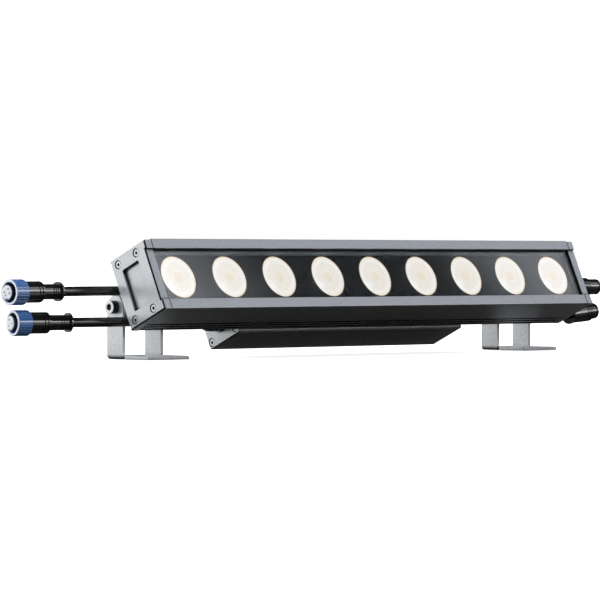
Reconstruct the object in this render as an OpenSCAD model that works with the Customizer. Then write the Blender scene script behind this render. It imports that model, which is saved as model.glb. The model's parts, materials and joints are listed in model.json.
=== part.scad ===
// Linear light fixture: an extruded housing with a row of lenses behind glass, a power supply box
// on its back, two tilting brackets and four short leads with waterproof connectors.
// Millimetres. X runs along the fixture, -Y is the lit side, Z is up.
// The origin lies under the middle of the object, level with the bottom of the bracket plates.
// The housing is drawn in its own section axes: u runs back from the lit face, v runs up it.

/* [Housing] */
// Overall length of the housing with its end caps
fixture_l = 500; // [460:10:620]
// Depth of the housing section, lit face to back
section_d = 42.2; // [41:0.1:46]
// Height of the housing section
section_h = 58.4; // [57:0.1:64]
// Wall thickness of the extrusion
wall_t = 2.4; // [2:0.1:3]
// Height of the rails above and below the glass
rail_h = 8; // [7.9:0.1:8.8]
// Angle by which the lit face leans back
tilt = 24.6; // [15:0.1:35]

/* [End caps] */
// Thickness of an end cap
cap_t = 7.2; // [6:0.1:9]
// Thickness of the gasket behind an end cap
gasket_t = 0.8; // [0.6:0.1:1.2]
// How far the cap's top lies below the top rail
cap_drop = 1; // [0.6:0.1:1.4]
// How far the cap's middle strip stands back from the rails
strip_set = 1.5; // [1:0.1:2.2]
// Chamfer round the cap's outer face
cap_chamfer = 1; // [0.5:0.1:1.3]
// Depth of the bare panel in the cap's face
panel_depth = 3.2; // [1:0.1:3.4]
// Distance of the cap screws from the front
cap_screw_front = 12.2; // [11:0.1:13]
// Distance of the cap screws from the back
cap_screw_back = 8; // [7:0.1:9]
// Distance of the cap screws from the top and bottom edges
cap_screw_edge = 5.6; // [5.2:0.1:6]

/* [Optics] */
// How far the glass lies behind the rails' front
glass_set = 3.2; // [2.9:0.1:3.5]
// Thickness of the glass
glass_t = 3; // [2.5:0.1:4]
// Width of the seal above and below the glass
seal_t = 1.2; // [1:0.1:1.6]
// Width of the seal at the ends of the glass
seal_end_t = 1.8; // [1.4:0.1:2.2]
// Depth of the seal's lip, between glass and lens plate
lip_d = 1.8; // [1.6:0.1:3]
// Width of the seal's lip from the edge of the opening, behind the glass
lip_w = 2.2; // [1.8:0.1:2.6]
// Thickness of the lens plate
plate_t = 2; // [1.6:0.1:2.4]
// Distance from a lens to the rails above and below it
lens_margin = 3.8; // [3.5:0.1:5]
// Height of a lens from its face to its foot
lens_h = 13.4; // [12:0.1:14]
// How far the lens faces lie behind the plate's front
lens_set = 0.7; // [0.4:0.1:1.1]
// Distance of the outer lens centres from the fixture's ends
lens_edge = 31.5; // [30:0.1:40]

/* [Power supply] */
// Length of the power supply box with its caps
driver_l = 260; // [230:5:290]
// Depth of the power supply box
driver_d = 37.2; // [36:0.2:44]
// Height of the power supply box
driver_h = 58.4; // [56:0.2:62]
// How far the box's bottom lies below the housing's
driver_drop = 0.6; // [0:0.1:1.2]
// Gap between the housing's back and the box, bridged by a rib
driver_gap = 3.8; // [3.6:0.1:4.4]
// Wall thickness of the box
driver_wall = 2.2; // [1.8:0.1:2.8]
// Corner radius of the box
driver_r = 2.5; // [1.6:0.1:4]
// Thickness of the box's end caps
driver_cap_t = 6; // [5:0.1:8]

/* [Brackets] */
// Width of a bracket over its legs
bracket_w = 42.8; // [40:0.2:50]
// Thickness of the bracket's sheet
bracket_t = 2.8; // [2.4:0.1:3.2]
// Width of a bracket leg
leg_w = 18; // [16:0.2:18.4]
// How far the plate reaches forward of the legs
foot_reach = 30; // [24:0.5:32]
// Distance of a bracket's outer face from the fixture's end
bracket_inset = 12.2; // [9:0.2:20]
// Height of the pivot above the base
pivot_height = 40.3; // [39:0.1:46]
// Distance of the pivot behind the housing's back
pivot_back = 20.9; // [20.6:0.1:24]
// Diameter of the pivot bolts
pivot_d = 6; // [5:0.5:6]
// Diameter of the mounting holes in the plates
mount_d = 6.5; // [5:0.1:9]
// Distance between a plate's two mounting holes
mount_pitch = 24; // [18:0.5:26]

/* [Leads] */
// Diameter of the lead cable
lead_d = 7.5; // [6:0.1:7.6]
// Height of the lower leads above the section's bottom
lead_low = 10.7; // [10.5:0.1:11]
// Height of the upper leads above the section's bottom
lead_high = 36.6; // [36.4:0.1:37.4]
// Height of the lower cable glands above the section's bottom
gland_low = 14; // [13.6:0.1:14.4]
// Distance between the lower and the upper glands
gland_pitch = 23; // [22.6:0.1:23.4]
// Length of a cable gland outside the box
gland_l = 17; // [16:0.5:20]

/* [Hidden] */
lens_count = 9;
sides = ["left", "right"];
levels = ["lower", "upper"];

// Clearances and small sizes that several pieces share
overrun = 1;
fit_gap = 0.1;
screw_gap = 0.05;
pivot_gap = 0.08;
edge_r = 0.6;
fine = 48;

// M3, M5 and M6 socket screws: shank, head, head height, key size and key depth
m3_d = 3;
m3_head_d = 5.5;
m3_head_h = 3;
m3_key = 2.5;
m3_key_depth = 1.6;
m3_hole_d = 3.4;
m3_recess_d = 7;
m3_recess_h = 3.5;
m5_d = 5;
m5_head_d = 8.5;
m5_head_h = 5;
m5_key = 4;
m5_key_depth = 2.5;
m5_hole_d = 5.4;
m5_recess_d = 9.2;
m6_head_d = 10;
m6_head_h = 6;
m6_key = 5;
m6_key_depth = 3;

// Housing section
open_h = section_h - 2 * rail_h;
mid_v = section_h / 2;
lens_d = open_h - 2 * lens_margin;
rail_d = 16;
plate_u = glass_set + glass_t + lip_d;
lens_u = plate_u + lens_set;
led_t = 1.2;
board_t = 1.6;
holder_floor = 1.5;
holder_wall = 1.6;
holder_seat = 0.8;
web_t = 2.6;
lens_foot_u = lens_u + lens_h;
board_u = lens_foot_u + holder_floor;
web_u = board_u + board_t;
bay_u = web_u + web_t;
body_end = fixture_l / 2 - cap_t - gasket_t;
lens_pitch = (fixture_l - 2 * lens_edge) / (lens_count - 1);

// Cooling grooves along the rear of the bottom and top faces
groove_n = 3;
groove_w = 2.3;
groove_depth = 2.3;
groove_rib = 1.9;
groove_back = 1.7;
floor_t = wall_t + groove_depth;

// Slot along the back for the brackets and the box
slot_v = (lead_low + lead_high) / 2;
slot_open = 6.2;
slot_lip = 2;
slot_w = 10.4;
slot_d = 4;
slot_wall = 2;
slot_block_d = slot_lip + slot_d + slot_wall;
slot_block_w = slot_w + 2 * slot_wall;
nut_w = 9.6;
nut_t = 3.6;

// End caps
cap_h = section_h - cap_drop;
corner_d = 10;
strip_d = plate_u + plate_t;
ledge_h = 1.4;
screw_hole_deep = 14;
panel_u = 12;
panel_back = 10.4;
panel_v = 11.5;
panel_r = 1.5;
boss_r = 3.4;
cap_screw_places = [
  for (u = [cap_screw_front, section_d - cap_screw_back],
       v = [cap_screw_edge, cap_h - cap_screw_edge]) [u, v]
];
cap_screw_l = 12;

// Lens details
lens_face_t = 1.5;
lens_eye_d = 9.5;
lens_eye_depth = 0.4;
lens_foot_d = 12;
lens_lip = 1.2;
lens_neck_d = lens_d - 2 * lens_lip;
lens_cup_d = 8;
lens_cup_depth = 4;
led_w = 7;
emitter_d = 5.6;
emitter_h = 0.4;
led_base_t = led_t - emitter_h;
plate_hole_gap = 0.2;
board_edge = 1.2;
board_screw_l = 4;
board_head_h = 2;
board_key_depth = 1;

// Power supply box
driver_u = section_d + driver_gap;
driver_back = driver_u + driver_d;
driver_low = -driver_drop;
driver_high = driver_h - driver_drop;
driver_mid_v = (driver_low + driver_high) / 2;
driver_end = driver_l / 2;
driver_body_end = driver_end - driver_cap_t - gasket_t;
driver_screw_in = 4.2;
driver_screw_edge = 5;
driver_screw_places = [
  for (u = [driver_u + driver_screw_in, driver_back - driver_screw_in],
       v = [driver_low + driver_screw_edge, driver_high - driver_screw_edge]) [u, v]
];
driver_screw_l = 12;
driver_mount_x = 65;
driver_rib_w = 15;
driver_cap_chamfer = 0.8;
pcb_u = driver_u + 9.4;
pcb_t = 1.6;
pcb_end_gap = 16;
pcb_rib = 1.4;
pcb_rib_h = 1.6;
pcb_edge_gap = 0.3;

// Wires between the optics bay and the box, through a rubber grommet
wire_x = 27.4;
wire_d = 1.8;
wire_pitch = 3.4;
wire_hole_d = 7;
grommet_d = 8;
grommet_flange_d = 10.6;
grommet_gap = 0.5;
wire_v = slot_v + driver_rib_w / 2 + grommet_gap + grommet_flange_d / 2;

// Pivot, hinge blocks and brackets
pivot_u = section_d + pivot_back;
pivot_v = mid_v;
bracket_x = fixture_l / 2 - bracket_inset - bracket_w / 2;
washer_t = 0.8;
washer_d = 16;
leg_in = bracket_w / 2 - bracket_t;
block_half = leg_in - washer_t - fit_gap;
block_r = 8.6;
lead_clear = 0.95;
block_foot_w = lead_high - lead_low - lead_d - 2 * lead_clear;
block_floor = driver_gap + driver_wall;
slot_screw_l = block_floor + slot_lip + slot_d - fit_gap;
slot_screw_x = [-bracket_x, -driver_mount_x, driver_mount_x, bracket_x];
block_tongue = 1.6;
pivot_bolt_in = 11;
bend_r = 3.2;
bend_in_r = 0.5;
foot_chamfer = 1;
relief_w = 3;
relief_l = 2;
mount_front = 12;

// Where the housing's front bottom edge lies, so that the whole stands centred on the origin
function away_y(u, v) = u * cos(tilt) + v * sin(tilt);
function away_z(u, v) = v * cos(tilt) - u * sin(tilt);
front_y = min(0, away_y(pivot_u, pivot_v) - leg_w / 2 - foot_reach);
back_y = max(away_y(driver_back - driver_r, driver_high - driver_r) + driver_r,
             away_y(pivot_u, pivot_v) + leg_w / 2);
corner_y = -(front_y + back_y) / 2;
corner_z = pivot_height - away_z(pivot_u, pivot_v);
pivot_y = corner_y + away_y(pivot_u, pivot_v);

// Leads: points of each route from where it leaves its gland, in millimetres
gland_u = driver_u + driver_d / 2;
gland_v = [gland_low, gland_low + gland_pitch];
gland_nut_d = 11.6;
gland_nut_l = 6.5;
gland_waist_d = 9.6;
gland_waist_l = 1.4;
gland_ring_l = 1.6;
gland_tip_d = 10;
gland_shank_d = 8.6;
gland_locknut_d = 12.6;
gland_locknut_l = 3;
lead_sides = 12;
left_upper_route = [
  [0, 0, 0], [-5, -0.1, 0.1], [-10, -1, 0.4], [-16, -2.9, 1.2], [-22, -5.5, 2.3], [-28, -8.4, 3.6],
  [-34, -11, 4.7], [-40, -13.1, 5.6], [-45, -14.1, 6], [-50, -14.4, 6.1], [-65, -14.4, 6.1],
  [-80, -14.4, 6.1], [-95, -14.4, 6.1], [-110, -14.4, 6.1], [-126, -14.4, 6.1], [-142, -14.4, 6],
  [-157.5, -14.4, 5.9]
];
left_lower_route = [
  [0, 0, 0], [-5, -0.1, 0], [-10, -1.1, 0.2], [-16, -3.2, 0.7], [-22, -6, 1.3], [-28, -9.1, 2],
  [-34, -12.1, 2.6], [-40, -14.2, 3.1], [-45, -15.3, 3.3], [-50, -15.6, 3.4], [-64, -15.6, 3.4],
  [-79, -15.6, 3.4], [-94, -15.6, 3.4], [-109, -15.5, 3.4], [-120, -15, 3.4], [-131, -14.1, 3.4],
  [-142, -12.7, 3.4], [-152.5, -10.8, 3.4]
];
right_upper_route = [
  [0, 0, 0], [5, -0.1, 0.1], [10, -1, 0.4], [16, -2.9, 1.2], [22, -5.5, 2.3], [28, -8.4, 3.6],
  [34, -11, 4.7], [40, -13.1, 5.6], [45, -14.1, 6], [50, -14.4, 6.1], [62, -14.4, 6.1],
  [75, -14.4, 6.2], [88, -14.4, 6.3], [100, -14.4, 6.4], [112, -14.4, 6.5], [124, -14.4, 6.5],
  [136, -14.4, 6.5]
];
right_lower_route = [
  [0, 0, 0], [5, -0.1, 0], [10, -1.1, 0.2], [16, -3.2, 0.7], [22, -6, 1.3], [28, -9.1, 2],
  [34, -12.1, 2.6], [40, -14.2, 3.1], [45, -15.3, 3.3], [50, -15.6, 3.4], [60, -15.6, 3.3],
  [70, -15.6, 3.1], [80, -15.6, 2.8], [90, -15.6, 2.5], [100, -15.6, 2.3], [109, -15.6, 2.4],
  [118, -15.6, 2.8], [127, -15.6, 3.6]
];
function lead_route(s, l) = s == 0
  ? (l == 0 ? left_lower_route : left_upper_route)
  : (l == 0 ? right_lower_route : right_upper_route);

// Socket connector on the left leads, measured outward from the cable's end
socket_flange_d = 15;
socket_flange_l = 1.5;
socket_neck_d = 11.8;
socket_neck_l = 18.6;
neck_groove_n = 4;
neck_groove_pitch = 2.2;
neck_groove_w = 1;
neck_groove_depth = 0.5;
neck_groove_at = 0.9;
socket_body_d = 16.4;
socket_body_l = 16.2;
socket_groove_w = 0.9;
socket_groove_depth = 0.7;
socket_groove_at = 1.9;
socket_groove_pitch = 3;
socket_core_d = 12.8;
socket_nose_d = 11.8;
socket_insert_d = 10.7;
socket_insert_l = 9;
nut_outer_d = 19.7;
nut_l = 13.2;
nut_bore_d = 15;
nut_back_t = 2.6;
nut_flutes = 28;
nut_flute_d = 1;
nut_flute_depth = 0.25;
nut_front_edge = 0.4;
nut_back_edge = 1;
socket_stop_d = 13.8;
socket_stop_l = 1;
insert_proud = 2.2;
contact_circle_d = 5.6;
contact_hole_d = 1.9;
contact_hole_depth = 6;
contact_angles = [[-37, 83, 203], [-91, -31, 75, 148]];
key_w = 1.7;
key_depth = 1.1;
socket_nut_at = socket_flange_l + socket_neck_l + socket_body_l;
socket_front = socket_nut_at + nut_l + insert_proud;
socket_nose_back = 0.4;

// Plug connector on the right leads, measured outward from the cable's end; the upper is the longer one
plug_flange_d = 16.4;
plug_flange_l = 1.5;
plug_neck_d = 15;
plug_neck_l = 14.5;
plug_body_d = 16;
plug_body_l = 9.4;
plug_ring_n = 4;
plug_ring_pitch = 2;
plug_ring_w = 0.8;
plug_ring_depth = 0.5;
plug_ring_at = 0.9;
plug_waist_d = 11;
plug_waist_l = 1.4;
plug_nose_d = 13.6;
plug_nose_l = [3.4, 9.9];
plug_lip_l = 1.7;
plug_bore_d = 10.6;
plug_bore_depth = 5.6;
pin_d = 1.2;
pin_out = 4.6;
pin_in = 3;
plug_shoulder = plug_flange_l + plug_neck_l + plug_body_l;
function plug_end(l) = plug_shoulder + plug_waist_l + plug_nose_l[l] + plug_waist_l + plug_lip_l;

// Colours as the photograph shows them
frame_grey = [0.34, 0.35, 0.38];
sheet_grey = [0.74, 0.76, 0.77];
black = [0.06, 0.06, 0.07];
steel = [0.68, 0.69, 0.71];
board_white = [0.88, 0.89, 0.86];

// Shared shapes

// Places its children from the housing's section axes into the world
module in_housing() {
  translate([0, corner_y, corner_z]) rotate([-tilt, 0, 0]) children();
}

// Mirrors its children for the left side; they are drawn for the right
module on_side(s) {
  if (s == 0) mirror([1, 0, 0]) children();
  else children();
}

// Extrudes an outline in (u, v) along X
module along_x(from, to) {
  translate([from, 0, 0]) rotate([90, 0, 90]) linear_extrude(height = to - from) children();
}

// A cylinder along X
module x_rod(d, from, to, u, v) {
  translate([from, u, v]) rotate([0, 90, 0]) cylinder(d = d, h = to - from, $fn = fine);
}

// A cylinder along u
module u_rod(d, from, to, x, v) {
  translate([x, from, v]) rotate([-90, 0, 0]) cylinder(d = d, h = to - from, $fn = fine);
}

module rounded_rect(w, h, r) {
  translate([r, 0]) square([w - 2 * r, h]);
  translate([0, r]) square([w, h - 2 * r]);
  for (x = [r, w - r], y = [r, h - r]) translate([x, y]) circle(r = r, $fn = fine);
}

// A block whose face at x = to has chamfered edges
module capped_block(from, to, u0, u1, v0, v1, c) {
  intersection() {
    translate([0, 0, v0]) linear_extrude(height = v1 - v0)
      polygon([[from, u0], [to - c, u0], [to, u0 + c], [to, u1 - c], [to - c, u1], [from, u1]]);
    translate([0, u1, 0]) rotate([90, 0, 0]) linear_extrude(height = u1 - u0)
      polygon([[from, v0], [to - c, v0], [to, v0 + c], [to, v1 - c], [to - c, v1], [from, v1]]);
  }
}

// A socket head screw whose head's underside is at the origin and whose shank runs along -Z
module socket_screw(d, l, head_d, head_h, key, key_depth) {
  translate([0, 0, -l]) cylinder(d = d, h = l + head_h / 2, $fn = fine);
  difference() {
    cylinder(d = head_d, h = head_h, $fn = fine);
    translate([0, 0, head_h - key_depth]) cylinder(d = key / cos(30), h = key_depth + overrun, $fn = 6);
  }
}

// Housing

module section_outline() rounded_rect(section_d, section_h, edge_r);

module grooves() {
  for (i = [0:groove_n - 1])
    translate([section_d - groove_back - groove_w - i * (groove_w + groove_rib), 0]) {
      translate([0, -overrun]) square([groove_w, groove_depth + overrun]);
      translate([0, section_h - groove_depth]) square([groove_w, groove_depth + overrun]);
    }
}

module slot_cut() {
  translate([section_d - slot_lip - overrun, slot_v - slot_open / 2])
    square([slot_lip + 2 * overrun, slot_open]);
  translate([section_d - slot_lip - slot_d, slot_v - slot_w / 2]) square([slot_d, slot_w]);
}

module rear_bay() {
  difference() {
    translate([bay_u, floor_t]) square([section_d - wall_t - bay_u, section_h - 2 * floor_t]);
    translate([section_d - slot_block_d, slot_v - slot_block_w / 2]) square([slot_block_d, slot_block_w]);
    for (p = cap_screw_places) if (p[0] > bay_u) translate(p) circle(r = boss_r, $fn = fine);
  }
}

module front_opening() {
  translate([-overrun, rail_h]) square([strip_d + overrun, open_h]);
  translate([0, rail_h + ledge_h]) square([web_u, open_h - 2 * ledge_h]);
}

module housing_profile() {
  difference() {
    section_outline();
    front_opening();
    translate([rail_d, wall_t]) square([web_u - rail_d, section_h - 2 * wall_t]);
    rear_bay();
    slot_cut();
    grooves();
  }
}

module housing_extrusion() {
  color(frame_grey) in_housing() difference() {
    along_x(-body_end, body_end) housing_profile();
    for (s = [0, 1], p = cap_screw_places) on_side(s)
      x_rod(m3_d + 2 * screw_gap, body_end - screw_hole_deep, body_end + overrun, p[0], p[1]);
    for (i = [0:lens_count - 2])
      u_rod(m3_d + 2 * screw_gap, web_u - overrun, bay_u + overrun, board_screw_x(i), mid_v);
    u_rod(wire_hole_d, web_u - overrun, bay_u + overrun, wire_x, wire_v);
    u_rod(grommet_d + 2 * screw_gap, section_d - wall_t - overrun, section_d + overrun, wire_x, wire_v);
  }
}

function lens_x(i) = (i - (lens_count - 1) / 2) * lens_pitch;
function board_screw_x(i) = (i - (lens_count - 2) / 2) * lens_pitch;

module cap_shape() {
  inner = fixture_l / 2 - cap_t;
  outer = fixture_l / 2;
  capped_block(inner, outer, strip_set, section_d, 0, cap_h, cap_chamfer);
  capped_block(inner, outer, 0, corner_d, 0, rail_h, cap_chamfer);
  capped_block(inner, outer, 0, corner_d, section_h - rail_h, cap_h, cap_chamfer);
  translate([inner - gasket_t, strip_set, rail_h + fit_gap])
    cube([gasket_t + overrun, strip_d - strip_set, open_h - 2 * fit_gap]);
}

module end_cap(s) {
  outer = fixture_l / 2;
  color(frame_grey) in_housing() on_side(s) difference() {
    cap_shape();
    along_x(outer - panel_depth, outer + overrun) translate([panel_u, panel_v])
      rounded_rect(section_d - panel_u - panel_back, cap_h - 2 * panel_v, panel_r);
    for (p = cap_screw_places) {
      x_rod(m3_hole_d, outer - cap_t - overrun, outer, p[0], p[1]);
      x_rod(m3_recess_d, outer - m3_recess_h, outer + overrun, p[0], p[1]);
    }
  }
}

module end_cap_screws() {
  color(steel) in_housing() for (s = [0, 1], p = cap_screw_places) on_side(s)
    translate([fixture_l / 2 - m3_recess_h, p[0], p[1]]) rotate([0, 90, 0])
      socket_screw(m3_d, cap_screw_l, m3_head_d, m3_head_h, m3_key, m3_key_depth);
}

module end_gasket(s) {
  color(black) in_housing() on_side(s) along_x(body_end, body_end + gasket_t) difference() {
    intersection() {
      section_outline();
      square([section_d, cap_h]);
    }
    front_opening();
    translate([bay_u, floor_t + boss_r + cap_screw_edge])
      square([section_d - slot_block_d - bay_u, section_h - 2 * (floor_t + boss_r + cap_screw_edge)]);
    for (p = cap_screw_places) translate(p) circle(d = m3_hole_d, $fn = fine);
  }
}

// Glass, seal and optics

glass_end = body_end - seal_end_t;
glass_v = rail_h + seal_t;
lip_end = body_end - lip_w - seal_end_t + seal_t;

module front_glass() {
  color([0.8, 0.85, 0.87, 0.4]) in_housing()
    translate([-glass_end, glass_set, glass_v]) cube([2 * glass_end, glass_t, section_h - 2 * glass_v]);
}

module glass_seal() {
  color(black) in_housing() difference() {
    translate([-body_end, glass_set, rail_h]) cube([2 * body_end, glass_t + lip_d, open_h]);
    translate([-glass_end, glass_set - overrun, glass_v])
      cube([2 * glass_end, glass_t + overrun, section_h - 2 * glass_v]);
    translate([-lip_end, glass_set, rail_h + lip_w])
      cube([2 * lip_end, glass_t + lip_d + overrun, open_h - 2 * lip_w]);
  }
}

module lens_plate() {
  plate_end = body_end - fit_gap;
  low = rail_h + fit_gap;
  high = section_h - low;
  color(black) in_housing() difference() {
    translate([-plate_end, plate_u, low]) cube([2 * plate_end, plate_t, high - low]);
    for (i = [0:lens_count - 1])
      u_rod(lens_d + 2 * plate_hole_gap, plate_u - overrun, strip_d + overrun, lens_x(i), mid_v);
  }
}

module lens(i) {
  face_r = lens_d / 2;
  color([0.97, 0.95, 0.9]) in_housing() translate([lens_x(i), lens_u, mid_v]) rotate([-90, 0, 0])
    rotate_extrude($fn = fine) polygon([
      [0, lens_eye_depth], [lens_eye_d / 2, lens_eye_depth], [lens_eye_d / 2, 0], [face_r, 0],
      [face_r, lens_face_t], [lens_neck_d / 2, lens_face_t], [lens_foot_d / 2, lens_h],
      [lens_cup_d / 2, lens_h], [lens_cup_d / 2, lens_h - lens_cup_depth], [0, lens_h - lens_cup_depth]
    ]);
}

module lens_holders() {
  seat_u = lens_u + lens_face_t;
  seat_r = lens_d / 2 - holder_seat;
  outer_r = lens_d / 2 + holder_wall;
  color([0.2, 0.2, 0.21]) in_housing() for (i = [0:lens_count - 1]) difference() {
    u_rod(2 * outer_r, max(seat_u, plate_u + plate_t), board_u, lens_x(i), mid_v);
    u_rod(2 * seat_r, plate_u, lens_foot_u, lens_x(i), mid_v);
    u_rod(led_w / cos(45) + 2 * fit_gap, lens_foot_u - overrun, board_u + overrun, lens_x(i), mid_v);
  }
}

module led_board() {
  edge = body_end - board_edge;
  low = rail_h + board_edge;
  color(board_white) in_housing() difference() {
    translate([-edge, board_u, low]) cube([2 * edge, board_t, section_h - 2 * low]);
    for (i = [0:lens_count - 2])
      u_rod(m3_hole_d, board_u - overrun, web_u + overrun, board_screw_x(i), mid_v);
  }
}

module led_emitters() {
  color([1, 0.93, 0.7]) in_housing() for (i = [0:lens_count - 1]) {
    translate([lens_x(i) - led_w / 2, board_u - led_base_t, mid_v - led_w / 2])
      cube([led_w, led_base_t, led_w]);
    u_rod(emitter_d, board_u - led_t, board_u - led_base_t / 2, lens_x(i), mid_v);
  }
}

module board_screws() {
  color(steel) in_housing() for (i = [0:lens_count - 2])
    translate([board_screw_x(i), board_u, mid_v]) rotate([90, 0, 0])
      socket_screw(m3_d, board_screw_l, m3_head_d, board_head_h, m3_key, board_key_depth);
}

// Power supply box

module driver_outline() translate([driver_u, driver_low]) rounded_rect(driver_d, driver_h, driver_r);

module driver_cavity() {
  translate([driver_u + driver_wall, driver_low + driver_wall])
    square([driver_d - 2 * driver_wall, driver_h - 2 * driver_wall]);
}

module pcb_ribs() {
  for (u = [pcb_u - pcb_rib - fit_gap, pcb_u + pcb_t + fit_gap])
    for (v = [driver_low + driver_wall - fit_gap, driver_high - driver_wall - pcb_rib_h])
      translate([u, v]) square([pcb_rib, pcb_rib_h + fit_gap]);
}

module driver_profile() {
  translate([section_d, slot_v - driver_rib_w / 2]) square([driver_gap + driver_wall, driver_rib_w]);
  difference() {
    driver_outline();
    difference() {
      driver_cavity();
      pcb_ribs();
      for (p = driver_screw_places) translate(p) circle(r = boss_r, $fn = fine);
    }
  }
}

module driver_housing() {
  color(frame_grey) in_housing() difference() {
    along_x(-driver_body_end, driver_body_end) driver_profile();
    for (s = [0, 1], p = driver_screw_places) on_side(s)
      x_rod(m3_d + 2 * screw_gap, driver_body_end - screw_hole_deep, driver_end, p[0], p[1]);
    for (x = [-driver_mount_x, driver_mount_x])
      u_rod(m5_hole_d, section_d - overrun, driver_u + driver_wall + overrun, x, slot_v);
    u_rod(grommet_d + 2 * screw_gap, section_d, driver_u + driver_wall + overrun, wire_x, wire_v);
  }
}

module driver_cap(s) {
  color(frame_grey) in_housing() on_side(s) difference() {
    intersection() {
      along_x(driver_end - driver_cap_t, driver_end) driver_outline();
      capped_block(driver_end - driver_cap_t - overrun, driver_end, driver_u, driver_back,
                   driver_low, driver_high, driver_cap_chamfer);
    }
    for (p = driver_screw_places) {
      x_rod(m3_hole_d, driver_end - driver_cap_t - overrun, driver_end, p[0], p[1]);
      x_rod(m3_recess_d, driver_end - m3_recess_h, driver_end + overrun, p[0], p[1]);
    }
    for (v = gland_v)
      x_rod(gland_shank_d + 2 * screw_gap, driver_body_end, driver_end + overrun, gland_u, v);
  }
}

module driver_gaskets() {
  color(black) in_housing() for (s = [0, 1]) on_side(s)
    along_x(driver_body_end, driver_body_end + gasket_t) difference() {
      driver_outline();
      difference() {
        driver_cavity();
        for (p = driver_screw_places) translate(p) circle(r = boss_r, $fn = fine);
      }
      for (p = driver_screw_places) translate(p) circle(d = m3_hole_d, $fn = fine);
    }
}

module driver_cap_screws() {
  color(steel) in_housing() for (s = [0, 1], p = driver_screw_places) on_side(s)
    translate([driver_end - m3_recess_h, p[0], p[1]]) rotate([0, 90, 0])
      socket_screw(m3_d, driver_screw_l, m3_head_d, m3_head_h, m3_key, m3_key_depth);
}

// The board stands between ribs of the box and carries its parts on the side away from the housing
pcb_half = driver_body_end - pcb_end_gap;
pcb_face = pcb_u + pcb_t;

module driver_board() {
  edge = driver_wall + pcb_edge_gap;
  color([0.1, 0.35, 0.2]) in_housing()
    translate([-pcb_half, pcb_u, driver_low + edge]) cube([2 * pcb_half, pcb_t, driver_h - 2 * edge]);
}

transformer_size = [38, 20, 30];
transformer_coil_d = 11;
transformer_coil_out = 4.8;

module driver_transformer() {
  coil_end = transformer_size[0] / 2 + transformer_coil_out;
  color([0.75, 0.6, 0.15]) in_housing() {
    translate([-transformer_size[0] / 2, pcb_face, driver_mid_v - transformer_size[2] / 2])
      cube(transformer_size);
    x_rod(transformer_coil_d, -coil_end, coil_end, pcb_face + transformer_size[1] / 2, driver_mid_v);
  }
}

capacitor_d = 14;
capacitor_h = 22;
capacitor_first_share = 0.35;
capacitor_n = 3;
capacitor_gap = 1;

module driver_capacitors() {
  color([0.12, 0.14, 0.3]) in_housing() for (i = [0:capacitor_n - 1])
    u_rod(capacitor_d, pcb_face, pcb_face + capacitor_h,
          pcb_half * capacitor_first_share + i * (capacitor_d + capacitor_gap), driver_mid_v);
}

terminal_size = [12, 12, 24];

module driver_terminals() {
  color([0.2, 0.5, 0.3]) in_housing() for (s = [0, 1]) on_side(s)
    translate([pcb_half - terminal_size[0], pcb_face, driver_mid_v - terminal_size[2] / 2])
      cube(terminal_size);
}

module wire_grommet() {
  front = section_d - wall_t;
  back = driver_u + driver_wall;
  color(black) in_housing() difference() {
    union() {
      u_rod(grommet_d, front, back, wire_x, wire_v);
      u_rod(grommet_flange_d, section_d, driver_u, wire_x, wire_v);
    }
    for (w = [-wire_pitch, wire_pitch] / 2)
      u_rod(wire_d + 2 * screw_gap, front - overrun, back + overrun, wire_x + w, wire_v);
  }
}

module supply_wires() {
  color([0.7, 0.1, 0.1]) in_housing() for (w = [-wire_pitch, wire_pitch] / 2)
    u_rod(wire_d, web_u, pcb_u, wire_x + w, wire_v);
}

// Hinge blocks and brackets

module hinge_block(s) {
  color(frame_grey) in_housing() on_side(s) difference() {
    union() {
      along_x(bracket_x - block_half, bracket_x + block_half) {
        translate([section_d, slot_v - block_foot_w / 2]) square([pivot_back, block_foot_w]);
        translate([pivot_u, pivot_v]) circle(r = block_r, $fn = fine);
      }
      along_x(bracket_x - block_half, bracket_x + block_half)
        translate([section_d - block_tongue, slot_v - slot_open / 2 + fit_gap])
          square([block_tongue + overrun, slot_open - 2 * fit_gap]);
    }
    u_rod(m5_hole_d, section_d - block_tongue - overrun, pivot_u, bracket_x, slot_v);
    u_rod(m5_recess_d, section_d + block_floor, pivot_u + 2 * block_r, bracket_x, slot_v);
    for (t = [0, 1]) translate([bracket_x, 0, 0]) on_side(t)
      x_rod(pivot_d + 2 * screw_gap, block_half - pivot_bolt_in - overrun, leg_in, pivot_u, pivot_v);
  }
}

module slot_screws() {
  color(steel) in_housing() for (x = slot_screw_x)
    translate([x, section_d + block_floor, slot_v]) rotate([-90, 0, 0])
      socket_screw(m5_d, slot_screw_l, m5_head_d, m5_head_h, m5_key, m5_key_depth);
}

module slot_nuts() {
  back = section_d - slot_lip - fit_gap;
  color(steel) in_housing() for (x = slot_screw_x) difference() {
    translate([x - nut_w / 2, back - nut_t, slot_v - nut_w / 2]) cube([nut_w, nut_t, nut_w]);
    u_rod(m5_d + 2 * screw_gap, back - nut_t - overrun, back + overrun, x, slot_v);
  }
}

// Draws its children at each end of the pivot of each bracket, with +X pointing out of the leg
module at_legs() {
  for (s = [0, 1]) on_side(s)
    translate([bracket_x, pivot_y, pivot_height]) for (t = [0, 1]) on_side(t) children();
}

module pivot_bolts() {
  color(steel) at_legs() translate([bracket_w / 2 + fit_gap, 0, 0]) rotate([0, 90, 0])
    socket_screw(pivot_d, bracket_w / 2 + fit_gap - block_half + pivot_bolt_in,
                 m6_head_d, m6_head_h, m6_key, m6_key_depth);
}

module pivot_washers() {
  color([0.85, 0.85, 0.82]) at_legs() difference() {
    x_rod(washer_d, block_half, block_half + washer_t, 0, 0);
    x_rod(pivot_d + 2 * fit_gap, block_half - overrun, leg_in + overrun, 0, 0);
  }
}

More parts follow.
